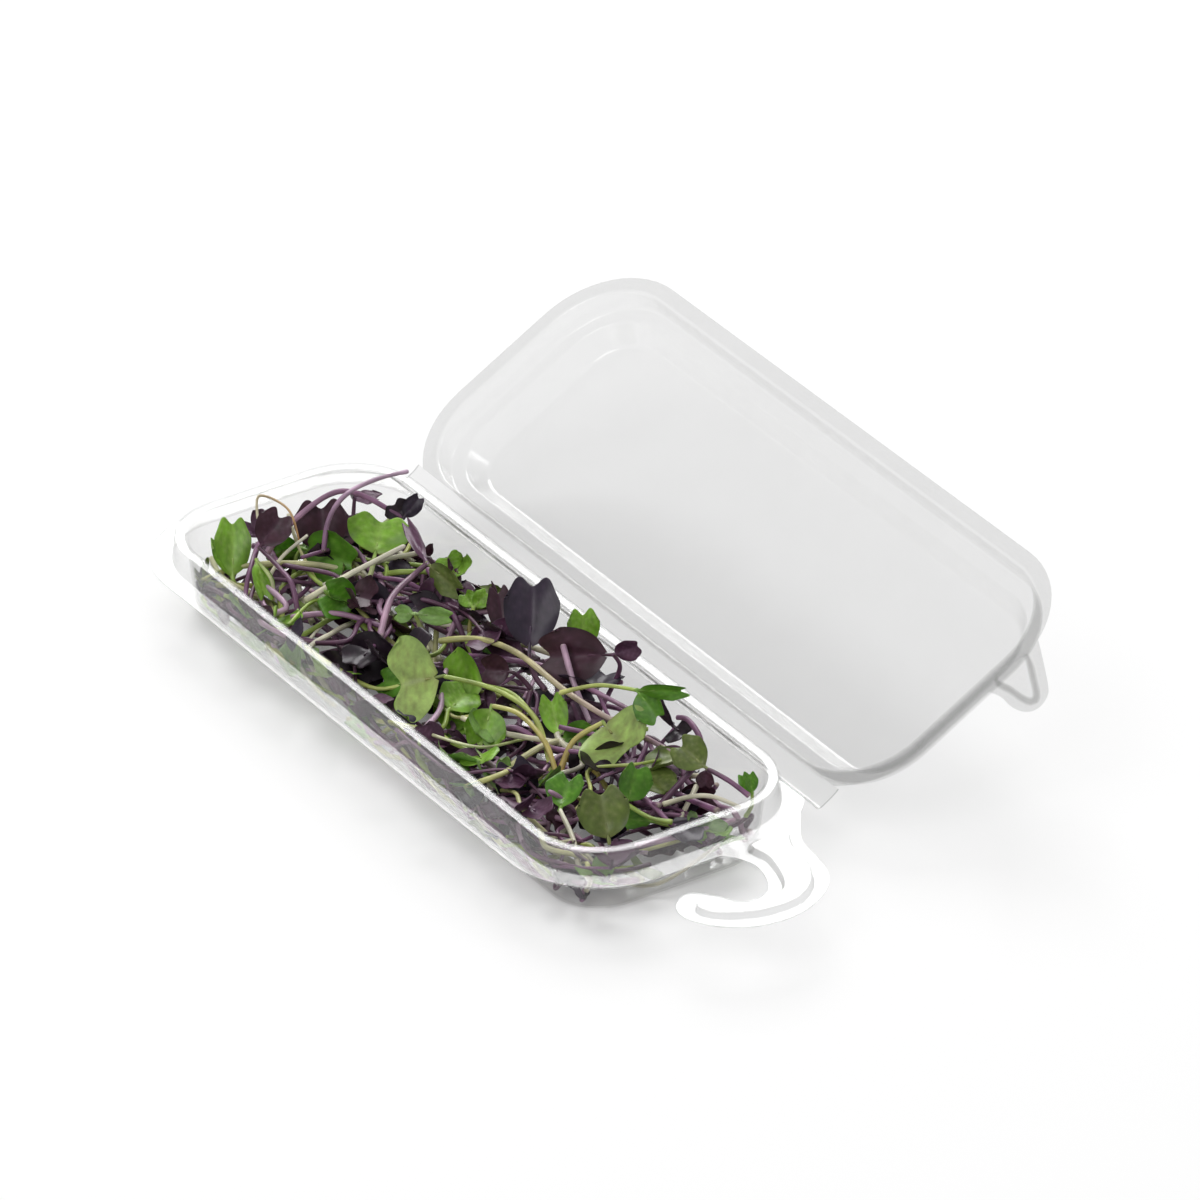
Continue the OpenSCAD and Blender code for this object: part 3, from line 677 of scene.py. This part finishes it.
# Lid, laid out as closed and then swung open about the hinge's line
def lid_sheet():
    skin = Skin()
    outline = cut_at(ring(0, LID_Z), LID_CUT)
    tab = smooth([(HALF_L + x, y, LID_Z) for x, y in TAB_EDGE], 5)
    outline = splice(outline, tab)
    panel = smooth([(HALF_L + x, y, LID_Z) for x, y in TAB_PANEL][::-1], 3, closed=True)
    rings = [ring(p.x, p.y) for p in bent(LID_BENDS, 5)]
    skin.field(outline, [rings[0], panel], slot=2)
    skin.raised(panel, TAB_STEPS)
    for a, b in zip(rings, rings[1:]):
        skin.strip(a, b)
    skin.field(rings[-1])
    pivot = Matrix.Translation((0, PIVOT_Y, PIVOT_Z))
    swing = pivot @ Matrix.Rotation(math.radians(-LID_OPEN), 4, "X") @ pivot.inverted()
    obj = skin.build("clear_lid", SHEET_T, clear_lid, swing)
    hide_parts("lid")
    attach(obj, "lid")
    return obj, swing


# Folded strip between tray and lid
def hinge_sheet(swing):
    edge = swing @ Vector((0, LID_CUT, LID_Z))
    line = smooth([(0, TRAY_CUT, FLANGE_Z), (0, 32.2, 11.0), (0, 33.6, 9.2), (0, 34.4, 8.9), (0, 35.4, 9.4),
                   (0, 37.4, 10.6), (0, edge.y, edge.z)], 4)
    skin = Skin()
    columns = 48
    for i in range(columns):
        x0, x1 = (-HINGE_HALF_L + 2 * HINGE_HALF_L * k / columns for k in (i, i + 1))
        skin.strip([Vector((x0, p.y, p.z)) for p in line], [Vector((x1, p.y, p.z)) for p in line],
                   closed=False)
    obj = skin.build("clear_hinge", SHEET_T, clear_tray)
    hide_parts("living_hinge")
    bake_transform(obj)
    return obj


def sprout(name, node, row, rng):
    """One sprout from its row, in the place of a node of the part where it has one."""
    stems, girth, paths, leaves = row
    start, end = (linear(STEMS[c]) for c in stems)
    made = Plant()
    ends = []
    for k, path in enumerate(paths):
        first = start if k == 0 else [0.5 * a + 0.5 * b for a, b in zip(start, end)]
        made.stem(path, first, end, girth / 2 * (1 if k == 0 else 0.8), girth / 2 * 0.75, rng)
        ends.append(path[-1])
    for which, tip, width, roll, kind in leaves:
        cup = 0.1 + 0.25 * rng.random()
        bend = 0.2 * (rng.random() - 0.5)
        notch = 0.16 + 0.1 * rng.random()
        fold = 0.25 * rng.random()
        made.leaf(ends[which], tip, width, roll, kind, rng, cup, bend, notch, fold)
    obj = made.build(name)
    if node:
        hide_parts(node)
        finer = obj.modifiers.new("finer", "SUBSURF")
        finer.levels = finer.render_levels = 1
    return obj


def bed_row(i):
    """Sprout number i of the bed below the others, as in the part's source."""
    lane, column = divmod(i, 2)
    way = 1 if lane % 2 == 0 else -1
    x_mid = (column - 0.5) * 76 - way * 6
    y = (lane - 1.5) * 9.9 - 1
    z = 1.4
    sway = 2.5 if column == 0 else -2.5
    x0, x1 = x_mid - way * 31, x_mid + way * 31
    kinds = ("bright", "dark", "maroon")
    path = [(x0, y, z), (x_mid - way * 8, y + sway, z), (x1 - way * 12, y, z), (x1, y, z + 1.6)]
    leaves = [(0, (x1 + way * 9.3, y + side * 3.8, z + 1.6), 9, 0, kinds[i % 3]) for side in (-1, 1)]
    return ("cg", "pv", "pv")[i % 3], 1.7, [path], leaves


tray_obj = tray_sheet()
lid_obj, lid_swing = lid_sheet()
hinge_obj = hinge_sheet(lid_swing)

dice = random.Random(4)
for number, row in enumerate(SHOWN, 1):
    obj = sprout(f"sprout_look_{number}", f"sprout_{number}", row, dice)
    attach(obj, "tray")
    if number in PRESSED:
        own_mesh(obj)
for i in range(BED_COUNT):
    obj = sprout(f"bed_look_{i + 1}", f"bed_sprout_{i + 1}", bed_row(i), dice)
    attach(obj, "tray")


def tangle(number, rng, near_wall):
    """A loose sprout lying among the others or along the near wall, with one or two leaves."""
    kinds = ["pv", "kp", "vv", "pp", "lk", "cw", "cy", "gg", "yg", "pv", "vp", "kp"]
    stems = rng.choice(kinds)
    heading = rng.gauss(0, 0.55) + (math.pi if rng.random() < 0.5 else 0)
    if rng.random() < 0.25 and not near_wall:
        heading += math.pi / 2
    length = rng.uniform(24, 48)
    low = rng.uniform(2, 10)
    mid = Vector((rng.uniform(-72, 72), rng.uniform(-24, -17) if near_wall else rng.uniform(-22, 23), low))
    way = Vector((math.cos(heading), math.sin(heading), 0))
    side = Vector((-way.y, way.x, 0))
    path = []
    for k in range(5):
        f = k / 4 - 0.5
        p = mid + way * length * f + side * rng.gauss(0, 2.6) + Vector((0, 0, rng.gauss(0, 1.8) + 2.5 * f))
        path.append(in_tray(p.x, p.y, min(max(p.z, 1.6), 12.5), 1.6))
    leaves = []
    if rng.random() < 0.75:
        kind = rng.choice(["dark", "maroon", "slate", "plum"] if stems[0] in "pkvl" else ["deep", "bright",
                                                                                          "olive", "soft"])
        end = path[-1]
        for turn in (-0.5, 0.5):
            reach = rng.uniform(7, 10)
            aim = heading + turn + rng.gauss(0, 0.3)
            tip = in_tray(end.x + math.cos(aim) * reach, end.y + math.sin(aim) * reach,
                          min(end.z + rng.uniform(-2, 3.5), 13.5), 2.2)
            leaves.append((0, tip, rng.uniform(7, 10), rng.uniform(-60, 60), kind))
            if rng.random() < 0.3:
                break
    obj = sprout(f"tangle_{number}", None, (stems, rng.uniform(0.9, 1.6), [path], leaves), rng)
    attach(obj, "tray")


for number in range(1, TANGLE_COUNT + 1):
    tangle(number, dice, number > TANGLE_MIDDLE)

# Pale floor: white to the eye, with the soft shadows of the lamps
FLOOR_SIZE = 6
FLOOR_TONE = 0.80
FLOOR_LIFT = 0.17
floor_mat, add, join = new_material("floor")
path_node = add("LightPath")
seen = math_node(add, join, "MAXIMUM", path_node.outputs["Is Camera Ray"],
                 math_node(add, join, "MAXIMUM", path_node.outputs["Is Glossy Ray"],
                           path_node.outputs["Is Transmission Ray"]))
lift = add("Emission", Color=(1, 1, 1, 1))
join(math_node(add, join, "MULTIPLY", seen, FLOOR_LIFT), lift.inputs["Strength"])
matt = add("BsdfDiffuse", Color=(FLOOR_TONE, FLOOR_TONE, FLOOR_TONE, 1))
both = add("AddShader")
join(matt.outputs[0], both.inputs[0])
join(lift.outputs[0], both.inputs[1])
out = add("OutputMaterial")
join(both.outputs[0], out.inputs["Surface"])
bpy.ops.mesh.primitive_plane_add(size=FLOOR_SIZE)
floor = bpy.context.object
floor.name = "floor"
floor.data.materials.append(floor_mat)

# Camera at the photo's angle, far off with a long lens
LENS_PX = 12287.09
PHOTO_PX = 1200
SENSOR = 36
AIM = Vector((-10.71, 39.93, FLANGE_Z)) * MM
AZIMUTH, ELEVATION, DISTANCE = math.radians(56.411), math.radians(30.866), 2.65066
back = Vector((math.sin(AZIMUTH) * math.cos(ELEVATION), -math.cos(AZIMUTH) * math.cos(ELEVATION),
               math.sin(ELEVATION)))
camera_data = bpy.data.cameras.new("camera")
camera_data.sensor_width = SENSOR
camera_data.lens = SENSOR * LENS_PX / PHOTO_PX
camera_data.clip_end = 20
camera = bpy.data.objects.new("camera", camera_data)
camera.location = AIM + back * DISTANCE
camera.rotation_euler = (-back).to_track_quat("-Z", "Y").to_euler()
scene.collection.objects.link(camera)
scene.camera = camera

# Lamps and world
LAMP_AIM = Vector((0, 0.03, 0))
LAMP_DISTANCE = 3
WORLD_LEVEL = 0.42


def lamp(name, azimuth, elevation, size, power):
    """Soft square lamp aimed at the tray, its azimuth turned from -Y towards +X."""
    a, e = math.radians(azimuth), math.radians(elevation)
    away = Vector((math.sin(a) * math.cos(e), -math.cos(a) * math.cos(e), math.sin(e)))
    data = bpy.data.lights.new(name, "AREA")
    data.size = size
    data.energy = power
    obj = bpy.data.objects.new(name, data)
    obj.location = LAMP_AIM + away * LAMP_DISTANCE
    obj.rotation_euler = (-away).to_track_quat("-Z", "Y").to_euler()
    scene.collection.objects.link(obj)


lamp("key", -118, 43, 1.5, 56)
lamp("fill", 12, 52, 1.6, 26)
lamp("back", 160, 42, 0.6, 6)
world = bpy.data.worlds.new("studio")
scene.world = world
world.use_nodes = True
background = world.node_tree.nodes["Background"]
background.inputs["Color"].default_value = (1, 1, 1, 1)
background.inputs["Strength"].default_value = WORLD_LEVEL
scene.view_settings.view_transform = "Standard"
scene.cycles.transparent_max_bounces = 32
